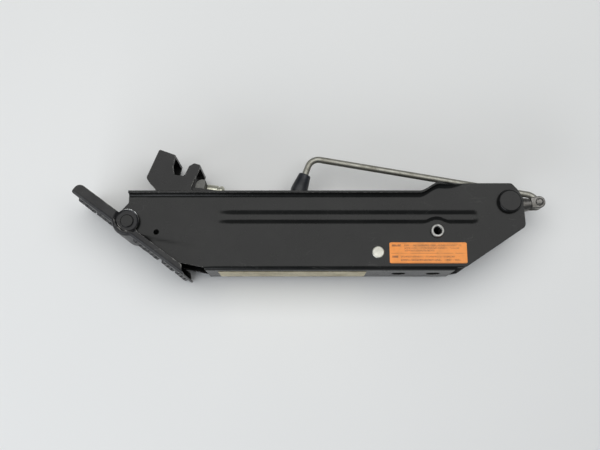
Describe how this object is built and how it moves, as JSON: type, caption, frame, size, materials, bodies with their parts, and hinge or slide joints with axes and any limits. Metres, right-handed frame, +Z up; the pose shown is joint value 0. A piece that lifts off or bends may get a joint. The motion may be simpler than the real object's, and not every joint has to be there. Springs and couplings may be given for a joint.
{
  "type": "folding vehicle screw jack",
  "caption": "Folded side-lift screw jack: channel stand with cleated swivel foot, lifting arm with notched saddle, screw spindle and fold-over crank.",
  "frame": {"origin": "Centre of the overall box in plan, on the plane that the folded jack lies on.", "axes": "+X along the stand away from the foot, +Y from the stand's back web towards its open side, +Z up, parallel to every hinge axis of the linkage."},
  "size_m": [0.5074, 0.1372, 0.067],
  "materials": {
    "black_paint": "satin black stoving paint",
    "worn_paint": "black paint, worn and dusty",
    "zinc_plate": "zinc plated",
    "bare_steel": "drawn steel, lightly tarnished",
    "dark_steel": "phosphated steel",
    "grip_plastic": "moulded plastic, satin",
    "orange_label": "printed film",
    "cream_label": "printed film, yellowed"
  },
  "bodies": {
    "stand": {"stand_channel": "black_paint", "arm_hinge_tube": "bare_steel", "hinge_washer_upper": "dark_steel", "hinge_washer_lower": "dark_steel", "hinge_spacer_upper": "dark_steel", "hinge_spacer_lower": "dark_steel", "stop_rivet": "zinc_plate", "stop_sleeve": "dark_steel", "side_label": "orange_label", "web_label": "cream_label", "foot_rivet_upper": "black_paint", "foot_rivet_lower": "black_paint"},
    "foot": {"foot_plate": "worn_paint"},
    "arm": {"arm_channel": "black_paint", "saddle_pin": "dark_steel", "saddle_pin_spacer": "dark_steel", "stop_bolt_block": "dark_steel", "stop_bolt": "zinc_plate", "nut_washer_upper": "dark_steel", "nut_washer_lower": "dark_steel"},
    "nut": {"trunnion_nut": "bare_steel"},
    "saddle": {"saddle": "black_paint"},
    "spindle": {"trunnion": "black_paint", "thrust_washer_inner": "bare_steel", "thrust_ball_ring": "bare_steel", "thrust_washer_outer": "bare_steel", "spindle_screw": "bare_steel", "spindle_end_stop": "dark_steel", "end_stop_pin": "bare_steel", "crank_hinge_pin": "bare_steel"},
    "crank": {"crank_rod": "bare_steel", "grip_retainer": "bare_steel"},
    "grip": {"crank_grip": "grip_plastic"}
  },
  "joints": [
    {"name": "foot_tilt", "type": "hinge", "parent": "stand", "child": "foot", "pos_m": [-0.19428, -0.01183, 0.0335], "axis": [0, 0, -1], "range_deg": [0, 48]},
    {"name": "arm_lift", "type": "hinge", "parent": "stand", "child": "arm", "pos_m": [0.13072, -0.02183, 0.0335], "axis": [0, 0, -1], "range_deg": [0, 100]},
    {"name": "nut_swivel", "type": "hinge", "parent": "arm", "child": "nut", "pos_m": [0.04802, -0.01047, 0.0335], "axis": [0, 0, -1], "range_deg": [-50, 0]},
    {"name": "saddle_tilt", "type": "hinge", "parent": "arm", "child": "saddle", "pos_m": [-0.13875, 0.01518, 0.0335], "axis": [0, 0, 1], "range_deg": [-20, 45]},
    {"name": "spindle_swing", "type": "hinge", "parent": "stand", "child": "spindle", "pos_m": [0.20802, 0.00967, 0.0335], "axis": [0, 0, -1], "range_deg": [0, 50]},
    {"name": "crank_fold", "type": "hinge", "parent": "spindle", "child": "crank", "pos_m": [0.24721, 0.0146, 0.0335], "axis": [0, 0, -1], "range_deg": [0, 175]},
    {"name": "grip_spin", "type": "hinge", "parent": "crank", "child": "grip", "pos_m": [-0.01454, 0.02837, 0.0335], "axis": [-0.3469, -0.9379, 0], "continuous": true}
  ],
  "couplings": [
    {"joint": "spindle_swing", "follows": "arm_lift", "ratio": 0.5},
    {"joint": "nut_swivel", "follows": "arm_lift", "ratio": -0.5}
  ]
}
